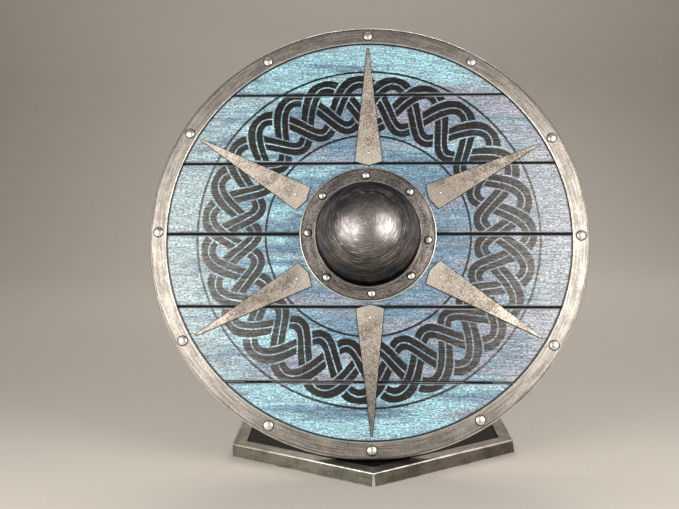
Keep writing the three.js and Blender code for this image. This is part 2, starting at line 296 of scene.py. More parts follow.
def plaited_ring(paint, radius, angle):
    """1 on the strands of a plaited ring and its two border lines, 0 elsewhere."""
    strands = []
    for k in range(KNOT_STRANDS):
        phase = angle * KNOT_TURNS + 2 * pi * k / KNOT_STRANDS
        slope = paint.math("COSINE", phase) * (KNOT_SWING * KNOT_TURNS / KNOT_RADIUS)
        middle = paint.math("SINE", phase) * KNOT_SWING + KNOT_RADIUS
        away = abs(radius - middle) / paint.math("SQRT", slope * slope + 1)
        claimed = paint.math("LESS_THAN", away, STRAND_HALF_WIDTH + STRAND_GAP)
        # Along its way a strand rises and sinks between 1 and 3; it is 0 high where it isn't.
        height = (paint.math("SINE", phase * 2) + 2) * claimed
        ink = paint.near(away, INK_MIDDLE, INK_HALF_WIDTH, PAINT_EDGE)
        strands.append((height, ink))
    top = paint.largest(*(height for height, _ in strands))
    mask = paint.largest(
        paint.near(radius, KNOT_RADIUS + BORDER_OFF, BORDER_HALF_WIDTH, PAINT_EDGE),
        paint.near(radius, KNOT_RADIUS - BORDER_OFF, BORDER_HALF_WIDTH, PAINT_EDGE))
    for height, ink in strands:
        on_top = paint.math("GREATER_THAN", height, top - HEIGHT_MARGIN)
        there = paint.math("GREATER_THAN", height, 0.5)
        mask = paint.largest(mask, on_top * there * ink)
    return mask


class Planks:
    """Where a place lies on the boards, and their noises from broad patches to fine specks."""

    def __init__(self, paint):
        self.x, self.y, self.z = paint.shield_place()
        self.radius = paint.from_axis(self.x, self.z)
        self.rows = self.z / BOARD_WIDTH
        x, z, row = self.x, self.z, paint.math("FLOOR", self.rows)
        self.hue = paint.noise(paint.join(x * 4.5, row * 7.7, z * 16), detail=3, roughness=0.6)
        self.depth = paint.noise(paint.join(x * 6.5, row * 2.9, z * 55), detail=4, roughness=0.65)
        wave = z + (self.hue - 0.5) * GRAIN_WANDER
        self.lines = paint.noise(paint.join(x * 16, row * 3.1, wave * 400), detail=3, roughness=0.7)
        self.fibre = paint.noise(paint.join(x * 70, row * 5.3, wave * 500), detail=1, roughness=0.6)
        self.speckle = paint.noise(paint.join(x * 260, row, z * 760), detail=0)
        self.grain = self.lines * 0.3 + self.fibre * 0.4 + self.speckle * 0.3


def blue_stain(paint, planks):
    """Cyan and lavender patches with steel-blue pools, paler at the sides from a faded stain and a painted
    sheen, and streaked along the grain.
    """
    side, height = abs(planks.x), abs(planks.z)
    outer = paint.ease(height, 0.17, 0.27, 0, 0.1)
    stain = paint.mix(paint.ease(planks.hue + planks.x * 0.55 - outer, 0.40, 0.58), BRIGHT_CYAN, LAVENDER)
    deep_middle = paint.ease(planks.radius, 0.10, 0.22, 0.08, 0)
    blueness = planks.depth - deep_middle + outer * 0.6
    stain = paint.mix(paint.ease(blueness, 0.37, 0.56, 0.95, 0), stain, STEEL_BLUE)
    # The sides are paler: a faded stain with a painted sheen over it.
    faded_and_sheen = paint.mix(paint.ease(planks.x, -0.05, 0.05), PALE_GREY, LAVENDER_FADE_AND_SHEEN)
    stain = paint.mix(paint.ease(side + planks.depth * 0.1, 0.17, 0.32, 0, 0.65), stain, faded_and_sheen)
    streaks = paint.ease(planks.lines * 0.4 + planks.fibre * 0.6, 0.40, 0.60, 0.76, 1.28)
    sandy = paint.ease(planks.speckle, 0.40, 0.60, 0.64, 1.36)
    stain = paint.dim(stain, streaks * sandy)
    return paint.mix(paint.ease(planks.lines * 0.6 + planks.depth * 0.4, 0.34, 0.43, 0.45, 0), stain, NAVY)


def black_over(paint, planks, stain):
    """The plaited ring in black over the stain, lightened towards the sides by a painted sheen, and rubbed
    thin along the grain.
    """
    ragged = (planks.fibre - 0.5) * PAINT_RAGGED
    ring = plaited_ring(paint, planks.radius + ragged, paint.math("ARCTAN2", planks.x, planks.z))
    # Painted sheen: the black turns grey towards the sides, more so lower down.
    black = paint.mix(paint.ease(abs(planks.x) - planks.z * 0.3, 0.09, 0.27), BLACK_PAINT, BLACK_WITH_PAINTED_SHEEN)
    black = paint.dim(black, paint.ease(planks.grain, 0.42, 0.60, 0.4, 1.7))
    return paint.mix(ring * paint.ease(planks.grain, 0.54, 0.66, 1, 0.88), stain, black)


def painted_boards():
    """Blue-stained planks under a black plaited ring, with a satin varnish."""
    paint = Paint("painted_boards", Specular_IOR_Level=0.45, Coat_Weight=0.3, Coat_Roughness=0.32)
    planks = Planks(paint)
    grain, depth = planks.grain, planks.depth
    colour = black_over(paint, planks, blue_stain(paint, planks))

    nearest = paint.math("ROUND", planks.rows)
    seam = abs(planks.rows - nearest) * BOARD_WIDTH + abs(nearest) * OUTER_SEAMS_FINER
    # The boards are darker in a band beside each seam.
    dark_edging = paint.ease(seam + grain * (5 * MM), 4.5 * MM, 8.5 * MM, 0.6, 0)
    groove = paint.ease(seam + depth * (1.6 * MM), 2.7 * MM, 3.5 * MM, 1, 0)
    # A pale line along each seam's edge: worn paint with a painted highlight.
    worn_and_lit_edge = paint.near(seam, 3.4 * MM, 0.6 * MM, 0.5 * MM) * paint.ease(depth, 0.42, 0.58) * 0.6
    # Painted shade: a dark line on the boards just inside the rim's lip.
    shade_under_rim = paint.ease(planks.radius, RIM_LIP - 3.2 * MM, RIM_LIP - 1.2 * MM)
    colour = paint.mix(dark_edging, colour, NAVY)
    colour = paint.mix(worn_and_lit_edge, colour, PALE_GREY)
    colour = paint.mix(paint.largest(groove, shade_under_rim), colour, SEAM_AND_SHADE_BLACK)

    on_back = paint.ease(planks.y, BOARD_THICKNESS - 2 * MM, BOARD_THICKNESS - 1 * MM)
    bare = paint.mix(paint.ease(grain * 0.6 + planks.hue * 0.4, 0.38, 0.60), *BARE_BOARD)
    paint.set("Base Color", paint.mix(on_back, colour, bare))
    paint.set("Roughness", paint.ease(grain, 0.38, 0.62, 0.48, 0.30) + groove * 0.3 + on_back * 0.2)
    paint.relief(grain, 0.9 * MM)
    return paint.material


# ------------------------------------------------------------------ metals of the shield

# Each of these runs from a dark tone to a light one.
RIM_STEEL = (0.30, 0.272, 0.244), (0.54, 0.507, 0.462)
LIT_CROWN_STEEL = (0.21, 0.198, 0.195), (0.46, 0.434, 0.417)
SHADED_SKIRT_STEEL = (0.043, 0.040, 0.039), (0.24, 0.214, 0.203)
FLANGE_STEEL = (0.105, 0.092, 0.087), (0.41, 0.37, 0.345)
RIVET_STEEL = (0.72, 0.69, 0.64), (0.98, 0.96, 0.92)
# painted shadow, for the rings round rivets and the lines round spikes
PAINTED_SHADOW = (0.008, 0.007, 0.006), (0.03, 0.026, 0.022)
SPIKE_STEEL = (0.27, 0.232, 0.197), (0.68, 0.622, 0.55)

SPIKE_BRIGHT = (0.76, 0.72, 0.65)
SPIKE_BROWN = (0.37, 0.27, 0.195)
RIM_WORN_AND_LIT = (0.90, 0.87, 0.82)
FLANGE_WORN_AND_LIT = (0.88, 0.85, 0.81)
DOME_SCRATCH = (0.80, 0.77, 0.74)

# The dome's scuffs run round a point a little off its axis.
SCUFF_LEFT, SCUFF_UP = 14 * MM, 11 * MM


def spun_place(paint, x, y, z, radius):
    """A place that changes fast away from the shield's axis and slowly round it."""
    safe = paint.math("MAXIMUM", radius, 1 * MM)
    return paint.join(x / safe, z / safe, (radius + y * 0.7) * 900)


def stretched_noise(paint, place, stretch, detail, roughness=0.6):
    """Noise at a place whose X, Y and Z are each stretched first."""
    return paint.noise(paint.vector("MULTIPLY", place, stretch), detail=detail, roughness=roughness)


def rim_steel():
    """Mild steel with fine lines round the rim, grey-brown, and edges worn bright with a painted highlight;
    darker towards the bottom, with painted shade in patches towards the top and bottom.
    """
    paint = Paint("rim_steel", Metallic=1.0)
    x, y, z = paint.shield_place()
    radius = paint.from_axis(x, z)
    spun = spun_place(paint, x, y, z, radius)
    fine = stretched_noise(paint, spun, (6, 6, 0.55), 2, 0.7)
    broad = stretched_noise(paint, spun, (9, 9, 0.2), 3)
    mottle = paint.noise(paint.place(), scale=55, detail=6, roughness=0.7)
    speck = paint.noise(paint.place(), scale=360, detail=1, roughness=0.6)
    tone = paint.ease(fine * 0.45 + broad * 0.2 + mottle * 0.15 + speck * 0.2, 0.42, 0.58)
    # Edges worn bright, with a painted highlight along the outer edge and the lip.
    outer_edge = paint.ease(radius, SHIELD_RADIUS - 2.1 * MM, SHIELD_RADIUS - 1.4 * MM)
    lip = paint.ease(radius, RIM_LIP + 1.0 * MM, RIM_LIP + 1.9 * MM, 1, 0)
    brightening = paint.largest(outer_edge, lip) * paint.ease(mottle, 0.38, 0.55, 0.45, 1)
    # A thin dark line just inside the outer edge, and darker towards the bottom; painted shade in patches
    # towards the top and bottom.
    dark_line_inside_edge = paint.near(radius, SHIELD_RADIUS - 3.0 * MM, 0.7 * MM, 0.6 * MM) * 0.6
    low_dark_and_painted_shade = paint.ease(z, -0.29, -0.2, 0.2, 0) + paint.ease(mottle + abs(z), 0.66, 0.86, 0, 0.16)
    steel = paint.dim(paint.mix(tone, *RIM_STEEL), 1 - paint.largest(dark_line_inside_edge, low_dark_and_painted_shade))
    paint.set("Base Color", paint.mix(brightening, steel, RIM_WORN_AND_LIT))
    paint.set("Roughness", paint.ease(mottle, 0.35, 0.65, 0.58, 0.50) - brightening * 0.2)
    paint.relief(fine * 0.7 + broad * 0.25 + speck * 0.3, 0.24 * MM)
    return paint.material


def boss_steel():
    """Spun steel: a dark dome with lathe lines, and a brown-grey flange with a bright edge. Much of its
    light and shade is painted into the colour.
    """
    paint = Paint("boss_steel", Metallic=1.0, Specular_Tint=(0.42, 0.42, 0.43))
    x, y, z = paint.shield_place()
    radius = paint.from_axis(x, z)
    height = abs(z)
    spun = spun_place(paint, x, y, z, radius)
    fine = stretched_noise(paint, spun, (2.2, 2.2, 0.8), 4, 0.7)
    swirl = stretched_noise(paint, spun, (2.6, 2.6, 0.2), 4)
    brushed = stretched_noise(paint, spun, (7, 7, 1), 3, 0.7)
    off_x, off_z = x + SCUFF_LEFT, z - SCUFF_UP
    skewed = spun_place(paint, off_x, y, off_z, paint.from_axis(off_x, off_z))
    scuff = stretched_noise(paint, skewed, (2.4, 2.4, 0.8), 3, 0.65)
    mottle = paint.noise(paint.place(), scale=70, detail=5, roughness=0.65)
    speck = paint.noise(paint.place(), scale=560, detail=1, roughness=0.6)
    marks = fine * 0.25 + swirl * 0.25 + scuff * 0.35 + mottle * 0.15
    lined = paint.ease(marks, 0.42, 0.60)

    # Painted light: the crown is a lit copy of the steel and the skirt a shaded one; the crown is lighter
    # towards its middle and darker at its top.
    crown = paint.mix(lined, *LIT_CROWN_STEEL)
    crown = paint.dim(crown, paint.ease(radius + scuff * (16 * MM), 24 * MM, 52 * MM, 1.2, 0.45))
    scratch = paint.ease(scuff, 0.57, 0.62) * paint.ease(mottle, 0.42, 0.56)
    crown = paint.mix(scratch * 0.7, crown, DOME_SCRATCH)
    crown = paint.dim(crown, paint.ease(z, 18 * MM, 52 * MM, 1, 0.5))
    skirt = paint.mix(lined, *SHADED_SKIRT_STEEL)
    # Painted highlight: the skirt is lighter at the sides than at the top and bottom.
    skirt = paint.dim(skirt, paint.ease(height, 15 * MM, 55 * MM, 2.2, 0.95))
    to_skirt = paint.ease(radius + mottle * (12 * MM), 50 * MM, 68 * MM)
    dome = paint.mix(to_skirt, crown, skirt)

    brightening = paint.ease(brushed * 0.3 + swirl * 0.25 + mottle * 0.1 + speck * 0.35, 0.41, 0.61)
    flange = paint.mix(brightening, *FLANGE_STEEL)
    # Painted highlight: the flange is lighter at the sides than at the top and bottom.
    flange = paint.dim(flange, paint.ease(height, 30 * MM, 85 * MM, 1.25, 0.68))
    # Painted highlights: a bright line along the flange's rounded edge, which is also worn, and a fainter
    # one round the dome's foot.
    bright_edge = paint.ease(radius, BOSS_FLANGE_RADIUS - 1.7 * MM, BOSS_FLANGE_RADIUS - 0.9 * MM)
    foot_line = paint.near(radius, BOSS_DOME_RADIUS + BOSS_HOLLOW, 0.5 * MM, 0.5 * MM) * 0.4
    flange = paint.mix(paint.largest(bright_edge, foot_line), flange, FLANGE_WORN_AND_LIT)

    on_flange = paint.ease(radius, BOSS_DOME_RADIUS + 1 * MM, BOSS_DOME_RADIUS + 4 * MM)
    groove = paint.near(radius, BOSS_GROOVE_RADIUS, 0.6 * MM, 0.5 * MM) * 0.6
    # Painted shade: a dark band round the dome's foot.
    foot = paint.near(radius, BOSS_DOME_RADIUS - 0.2 * MM, 1.8 * MM, 1.2 * MM) * 0.85
    # A thin dark line just inside the flange's outer edge.
    dark_line_inside_edge = paint.near(radius, BOSS_FLANGE_RADIUS - 2.8 * MM, 0.7 * MM, 0.8 * MM) * 0.55
    dark = paint.largest(groove, foot, dark_line_inside_edge)
    paint.set("Base Color", paint.dim(paint.mix(on_flange, dome, flange), 1 - dark))
    dome_rough = paint.ease(marks, 0.45, 0.6, 0.44, 0.36) - to_skirt * 0.03
    paint.set("Roughness", dome_rough + on_flange * 0.20 - bright_edge * 0.2)
    nub = paint.near(radius, 3 * MM, 0.6 * MM, 0.5 * MM)
    lathe = fine * 0.8 + swirl * 0.15 + scuff * 0.35 + nub * 0.6 - groove * 0.6
    paint.relief(lathe + brushed * on_flange * 2.6, 0.2 * MM)
    return paint.material


def rivet_steel():
    """Bright peened steel, half polished and half satin in fine specks."""
    paint = Paint("rivet_steel", Metallic=1.0)
    dents = paint.noise(paint.place(), scale=240, detail=3, roughness=0.6)
    speck = paint.noise(paint.place(), scale=1100, detail=2, roughness=0.6)
    paint.set("Base Color", paint.mix(paint.ease(dents, 0.35, 0.55), *RIVET_STEEL))
    paint.set("Roughness", paint.ease(speck, 0.44, 0.56, 0.26, 0.48))
    paint.relief(dents, 0.3 * MM)
    return paint.material


def painted_shadow_black():
    """Painted shadow: the dark ring round a rivet's head, and the dark line round a spike."""
    paint = Paint("painted_shadow_black", Metallic=0.3)
    shadow_mottle = paint.noise(paint.place(), scale=700, detail=2)
    paint.set("Base Color", paint.mix(shadow_mottle, *PAINTED_SHADOW))
    paint.set("Roughness", paint.ease(shadow_mottle, 0.3, 0.7, 0.6, 0.85))
    return paint.material


def spike_steel():
    """Warm grey plate with brown clouds, bright at the wide end, darker on some spikes than on others, and
    lighter at the side tips by a painted sheen.
    """
    paint = Paint("spike_steel", Metallic=1.0)
    x, _, z = paint.shield_place()
    cloud = paint.noise(paint.place(), scale=34, detail=4, roughness=0.6)
    blotch = paint.noise(paint.place(), scale=170, detail=4, roughness=0.7)
    speck = paint.noise(paint.place(), scale=560, detail=1, roughness=0.6)
    tone = paint.ease(cloud * 0.35 + blotch * 0.2 + speck * 0.45, 0.41, 0.59)
    wide_end = paint.ease(paint.from_axis(x, z) + blotch * (16 * MM), 110 * MM, 140 * MM, 0.5, 0)
    steel = paint.mix(wide_end, paint.mix(tone, *SPIKE_STEEL), SPIKE_BRIGHT)

    # The upper spikes are lighter, and the lower left, upper right and lowest spikes darker; the tips at
    # the sides are lighter by a painted sheen.
    lower_left = paint.ease(x, -0.14, -0.06, 1, 0) * paint.ease(z, -0.06, 0.06, 0.22, -0.12)
    upper_right = paint.ease(x, 0.02, 0.08) * paint.ease(z, 0, 0.06, 0, 0.27)
    lowest = paint.ease(z, -0.24, -0.13, 0.36, 0)
    sheen_at_side_tips = paint.ease(abs(x), 0.13, 0.22, 0, 0.6) * paint.ease(z, -0.05, 0.08, 1, 0.25)
    darkening = lower_left + upper_right + lowest - sheen_at_side_tips
    steel = paint.dim(steel, paint.ease(z, 0, 0.2, 0.92, 1.26) - darkening)
    paint.set("Base Color", paint.mix(paint.ease(cloud, 0.54, 0.68, 0, 0.34), steel, SPIKE_BROWN))
    paint.set("Roughness", paint.ease(cloud, 0.35, 0.65, 0.66, 0.56))
    paint.relief(speck * 0.6 + blotch * 0.4, 0.3 * MM)
    return paint.material


# ------------------------------------------------------------------ bare wood, and the stand

OILED_ASH = ((0.32, (0.10, 0.052, 0.024)), (0.48, (0.22, 0.125, 0.06)), (0.66, (0.34, 0.21, 0.11)))
# Painted light: the bars on the left are lit, lighter and a little greener than the shaded ones on the
# right.
LIT_LEFT_BARS = (0.145, 0.144, 0.119), (0.30, 0.297, 0.247)
SHADED_RIGHT_BARS = (0.105, 0.092, 0.081), (0.235, 0.205, 0.178)
FRAME_GLINT = (0.95, 0.93, 0.86)
PROP_STEEL = (0.17, 0.165, 0.15), (0.40, 0.385, 0.345)
PANEL_BLACK = (0.004, 0.004, 0.0045), (0.012, 0.012, 0.012)


def bare_wood():
    """Oiled ash, with its grain up the shield."""
    paint = Paint("bare_wood")
    x, y, z = paint.shield_place()
    rings = paint.noise(paint.join(x * 60, y * 60, z * 2.2), detail=4, roughness=0.55)
    fibre = paint.noise(paint.join(x * 900, y * 900, z * 12), detail=3, roughness=0.6)
    paint.set("Base Color", paint.node("ValToRGB", {0: rings * 0.7 + fibre * 0.3}, stops=OILED_ASH))
    paint.set("Roughness", paint.ease(fibre, 0.3, 0.7, 0.42, 0.62))
    paint.relief(fibre * 0.7 + rings * 0.5, 0.25 * MM)
    return paint.material


def frame_steel():
    """Cold-rolled bar, brushed along each side of the hexagon, with painted highlights along its edges."""
    paint = Paint("frame_steel", Metallic=1.0)
    place = paint.place()
    x, y, z = (paint.along(place, axis) for axis in ((1, 0, 0), (0, 1, 0), (0, 0, 1)))
    side = paint.math("FLOOR", paint.math("ARCTAN2", x, 0 - y) / (pi / 3))
    facing = side * (pi / 3) + pi / 6
    cosine, sine = paint.math("COSINE", facing), paint.math("SINE", facing)
    along = x * cosine + y * sine
    across = x * sine - y * cosine
    brushed = paint.noise(paint.join(along * 14, across * 1100, z * 1100), detail=3, roughness=0.6)
    stretched = paint.noise(paint.join(along * 12, across * 60, z * 60), detail=4, roughness=0.6)
    pits = paint.noise(place, scale=420, detail=1, roughness=0.6)
    cloud = paint.noise(place, scale=45, detail=4, roughness=0.65)
    tone = paint.ease(stretched * 0.35 + brushed * 0.15 + pits * 0.2 + cloud * 0.3, 0.42, 0.58)
    steel = paint.mix(paint.ease(x, -0.04, 0.04), paint.mix(tone, *LIT_LEFT_BARS), paint.mix(tone, *SHADED_RIGHT_BARS))
    # Painted highlights along the top, foot and corner edges, broken up by noise.
    upper, lower = FRAME_OUTSIDE + FRAME_HEIGHT, FRAME_FOOT
    top_edge = paint.ease(across + z, upper - 1.7 * MM, upper - 1.0 * MM)
    foot_edge = paint.ease(across - z, lower - 1.7 * MM, lower - 1.1 * MM)
    corner = paint.ease(abs(along), FRAME_SIDE / 2 - 1.5 * MM, FRAME_SIDE / 2 - 0.6 * MM)
    outside = paint.ease(across, FRAME_OUTSIDE - 3 * MM, FRAME_OUTSIDE - 1 * MM)
    edge = paint.largest(top_edge, foot_edge * 0.8, corner * outside)
    edge = edge * paint.ease(stretched * 0.5 + cloud * 0.5, 0.40, 0.55, 0.35, 0.9)
    paint.set("Base Color", paint.mix(edge, steel, FRAME_GLINT))
    paint.set("Roughness", paint.ease(stretched, 0.35, 0.65, 0.46, 0.34) - edge * 0.08)
    paint.relief(brushed * 0.8 + pits * 0.2, 0.1 * MM)
    return paint.material


def prop_steel():
    """Plain mild steel, lightly oiled."""
    paint = Paint("prop_steel", Metallic=1.0)
    cloud = paint.noise(paint.place(), scale=30, detail=5, roughness=0.6)
    pits = paint.noise(paint.place(), scale=420, detail=3, roughness=0.75)
    tone = paint.ease(cloud * 0.6 + pits * 0.4, 0.38, 0.62)
    paint.set("Base Color", paint.mix(tone, *PROP_STEEL))
    paint.set("Roughness", paint.ease(cloud, 0.35, 0.65, 0.5, 0.36))
    paint.relief(pits, 0.1 * MM)
    return paint.material


def panel_gloss():
    """Black gloss with a breath of dust."""
    paint = Paint("panel_gloss", IOR=1.18)
    dust = paint.noise(paint.place(), scale=18, detail=6, roughness=0.7)
    paint.set("Base Color", paint.mix(dust, *PANEL_BLACK))
    paint.set("Roughness", paint.ease(dust, 0.35, 0.7, 0.06, 0.16))
    return paint.material


# ------------------------------------------------------------------ shapes


def arc(middle_r, middle_y, radius, start, end, steps):
    """Points in (r, y) along an arc, both ends included; angles in degrees."""
    turns = [radians(start + (end - start) * i / steps) for i in range(steps + 1)]
    return [(middle_r + radius * cos(t), middle_y + radius * sin(t)) for t in turns]


def low_dome(radius, height):
    """A closed (r, y) profile of a domed head that stands towards -Y on a flat base at Y = 0."""
    ball = (radius**2 + height**2) / (2 * height)
    reach = degrees(acos((ball - height) / ball))
    cap = arc(0, ball - height, ball, -90, reach - 90, 5)
    return [(0, -height), *cap[1:], (0, 0)]


def rivet_head(radius, height, shoulder):
    """A closed (r, y) profile of a low-crowned head with a rounded shoulder, towards -Y from Y = 0."""
    ball = 2 * radius - shoulder
    ball_middle = ball - height
    shoulder_middle = ball_middle - (ball - shoulder) * sin(pi / 3)
    crown = arc(0, ball_middle, ball, -90, -60, 5)[1:]
    side = arc(radius - shoulder, shoulder_middle, shoulder, -60, 0, 4)[1:]
    return [(0, -height), *crown, *side, (radius, 0), (0, 0)]


def turned(profile, segments):
    """A form spun from an (r, y) profile round the Y axis."""
    form = bmesh.new()
    verts = [form.verts.new((r, y, 0)) for r, y in profile]
    edges = [form.edges.new(pair) for pair in zip(verts, verts[1:])]
    if profile[0][0] > 0:
        edges.append(form.edges.new((verts[-1], verts[0])))
    bmesh.ops.spin(
        form, geom=verts + edges, cent=(0, 0, 0), axis=(0, 1, 0), angle=2 * pi, steps=segments,
        use_merge=True)
    bmesh.ops.remove_doubles(form, verts=form.verts, dist=0.002 * MM)
    bmesh.ops.recalc_face_normals(form, faces=form.faces)
    return form


def join_forms(form, part):
    """Adds a part to a form and lets the part go."""
    holder = bpy.data.meshes.new("holder")
    part.to_mesh(holder)
    part.free()
    form.from_mesh(holder)
    bpy.data.meshes.remove(holder)


def add_turned(form, profile, place, segments=24, turn=0.0, material=0):
    """Adds a turned part to a form, at a place in the shield's frame."""
    part = turned(profile, segments)
    move = Matrix.Translation(place) @ Matrix.Rotation(turn, 4, "Z")
    bmesh.ops.transform(part, matrix=move, verts=part.verts)
    for face in part.faces:
        face.material_index = material
    join_forms(form, part)


def finish_piece(name, form, materials, nodes, sharp=30, move=SHIELD_FRAME):
    """Makes a form a named piece that stands for the given CAD nodes."""
    bmesh.ops.transform(form, matrix=move, verts=form.verts)
    mesh = bpy.data.meshes.new(name)
    form.to_mesh(mesh)
    form.free()
    for material in materials:
        mesh.materials.append(material)
    mesh.shade_smooth()
    mesh.set_sharp_from_angle(angle=radians(sharp))
    piece = bpy.data.objects.new(name, mesh)
    bpy.context.scene.collection.objects.link(piece)
    piece.modifiers.new("even_shading", "WEIGHTED_NORMAL").keep_sharp = True
    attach(piece, "root")
    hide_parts(*nodes)


def clean_copy(node):
    """A CAD node's mesh as a form of whole flat faces."""
    form = bmesh.new()
    form.from_mesh(bpy.data.objects[node].data)
    bmesh.ops.remove_doubles(form, verts=form.verts, dist=0.01 * MM)
    bmesh.ops.dissolve_limit(form, angle_limit=radians(0.5), verts=form.verts, edges=form.edges)
    return form


def ease_edges(form, width, segments=2):
    """Bevels every edge where two faces meet at a clear angle."""
    corners = [edge for edge in form.edges if edge.calc_face_angle(0) > radians(20)]
    bmesh.ops.bevel(
        form, geom=corners, offset=width, segments=segments, profile=0.5, material=-1, affect="EDGES",
        clamp_overlap=True)


def soften_node(node, name, width, material):
    """Replaces a CAD node with a copy whose edges are eased."""
    form = clean_copy(node)
    ease_edges(form, width)
    finish_piece(name, form, [material], [node], move=Matrix())


def dress_node(node, material):
    """Gives a CAD node a finished material."""
    materials = bpy.data.objects[node].data.materials
    materials.clear()
    materials.append(material)


# ------------------------------------------------------------------ the shield

SHADOW_SLOT = 1  # where the painted shadow material stands in a piece's list of materials


def make_rim(material):
    """A channel bent round the boards' edge, with rounded corners and lips."""
    inside = SHIELD_RADIUS - RIM_SHEET
    back_lip = SHIELD_RADIUS - RIM_BACK_WIDTH
    lip, front, back, back_ease = RIM_LIP_ROUND, RIM_FRONT_ROUND, RIM_BACK_ROUND, RIM_BACK_LIP_ROUND
    profile = [
        *arc(RIM_LIP + lip, RIM_FRONT + lip, lip, 180, 270, 4),
        *arc(SHIELD_RADIUS - front, RIM_FRONT + front, front, 270, 360, 6),
        *arc(SHIELD_RADIUS - back, RIM_BACK - back, back, 0, 90, 4),
        *arc(back_lip + back_ease, RIM_BACK - back_ease, back_ease, 90, 180, 3),
        (back_lip, RIM_BACK - RIM_SHEET),
        (inside, RIM_BACK - RIM_SHEET),
        (inside, -GAP),
        (RIM_LIP, -GAP),
    ]
    finish_piece("steel_rim", turned(profile, 192), [material], ["rim"])


def make_boss(material):
    """The dome runs into its flange through a small hollow."""
    inside = BOSS_DOME_RADIUS - BOSS_SHEET
    lift = asin(BOSS_HOLLOW / (BOSS_DOME_RADIUS + BOSS_HOLLOW))
    foot = (BOSS_DOME_RADIUS + BOSS_HOLLOW) * cos(lift)
    edge = BOSS_EDGE_ROUND
    profile = [
        (0, BOSS_FRONT - BOSS_DOME_RADIUS),
        *arc(0, BOSS_FRONT, BOSS_DOME_RADIUS, -90, -degrees(lift), 36)[1:],
        *arc(foot, BOSS_FRONT - BOSS_HOLLOW, BOSS_HOLLOW, 180 - degrees(lift), 90, 5)[1:],
        *arc(BOSS_FLANGE_RADIUS - edge, BOSS_FRONT + edge, edge, 270, 360, 4),
        (BOSS_FLANGE_RADIUS, -GAP),
        (inside, -GAP),
        *arc(0, BOSS_FRONT, inside, 0, -90, 24)[:-1],
        (0, BOSS_FRONT - inside),
    ]
    finish_piece("spun_boss", turned(profile, 128), [material], ["boss"], sharp=50)


def make_rivet(node, radius, ring_width, front, back, materials):
    """A domed head in a ring of painted shadow, and its small peened end behind."""
    middle = middle_on_shield(node)
    ring_in, ring_out = radius + RING_PLAY, radius + ring_width
    ring = [(ring_in, 0), (ring_out, 0), (ring_out, -RING_THICKNESS), (ring_in, -RING_THICKNESS)]
    head = rivet_head(radius, RIVET_HEIGHT, RIVET_SHOULDER_SHARE * radius)
    peened_end = low_dome(PEENED_RADIUS_SHARE * radius, PEENED_HEIGHT_SHARE * RIVET_HEIGHT)
    form = bmesh.new()
    add_turned(form, head, (middle.x, front - GAP, middle.z))
    add_turned(form, ring, (middle.x, front - RING_GAP, middle.z), material=SHADOW_SLOT)
    add_turned(form, peened_end, (middle.x, back + PEENED_GAP, middle.z), turn=pi)
    finish_piece("peened_" + node, form, materials, [node], sharp=40)


def make_spike(number, materials):
    """An eased plate on a thin dark sheet of painted shadow that shows as a line round it."""
    node = f"spike_{number}"
    form, shadow_sheet = clean_copy(node), clean_copy(node)
    ease_edges(form, SPIKE_EASE)
    forward = -SHIELD_FRAME.col[1].to_3d()
    back = min(shadow_sheet.faces, key=lambda face: face.normal.dot(forward))
    bmesh.ops.delete(shadow_sheet, geom=[face for face in shadow_sheet.faces if face is not back], context="FACES")
    widened = bmesh.ops.inset_region(
        shadow_sheet, faces=shadow_sheet.faces[:], thickness=-SPIKE_SHADOW_WIDTH, use_boundary=True)
    bmesh.ops.delete(shadow_sheet, geom=widened["faces"], context="FACES")
    thicker = bmesh.ops.extrude_face_region(shadow_sheet, geom=shadow_sheet.faces[:])["geom"]
    moved = [part for part in thicker if isinstance(part, bmesh.types.BMVert)]
    bmesh.ops.translate(shadow_sheet, verts=moved, vec=forward * SPIKE_SHADOW_DEPTH)
    bmesh.ops.recalc_face_normals(shadow_sheet, faces=shadow_sheet.faces)
    for face in shadow_sheet.faces:
        face.material_index = SHADOW_SLOT
    join_forms(form, shadow_sheet)
    finish_piece(f"ground_spike_{number}", form, materials, [node], move=Matrix())


def make_pin(node, materials):
    """A small domed pin on a spike."""
    middle = middle_on_shield(node)
    form = bmesh.new()
    add_turned(form, low_dome(PIN_RADIUS, PIN_HEIGHT), (middle.x, SPIKE_FRONT - GAP, middle.z), segments=16)
    finish_piece("round_" + node, form, materials, [node])


def make_shield():
    boards = painted_boards()
    for i in range(1, BOARD_COUNT + 1):
        dress_node(f"board_{i}", boards)
    make_rim(rim_steel())
    make_boss(boss_steel())
    bright, dark_edging = rivet_steel(), painted_shadow_black()
    rivets, spikes = [bright, dark_edging], [spike_steel(), dark_edging]
    for i in range(1, RIM_RIVET_COUNT + 1):
        make_rivet(f"rim_rivet_{i}", RIM_RIVET_RADIUS, RIM_SHADOW_RING_WIDTH, RIM_FRONT, RIM_BACK, rivets)
    for i in range(1, BOSS_RIVET_COUNT + 1):
        back = GRIP_BACK if i in GRIP_RIVETS else BOARD_THICKNESS
        make_rivet(f"boss_rivet_{i}", BOSS_RIVET_RADIUS, BOSS_SHADOW_RING_WIDTH, BOSS_FRONT, back, rivets)
    for i in range(1, SPIKE_COUNT + 1):
        make_spike(i, spikes)
        make_pin(f"spike_pin_{i}", rivets)
    wood = bare_wood()
    for node in ("batten_left", "batten_right", "grip"):
        soften_node(node, "planed_" + node, WOOD_EASE, wood)


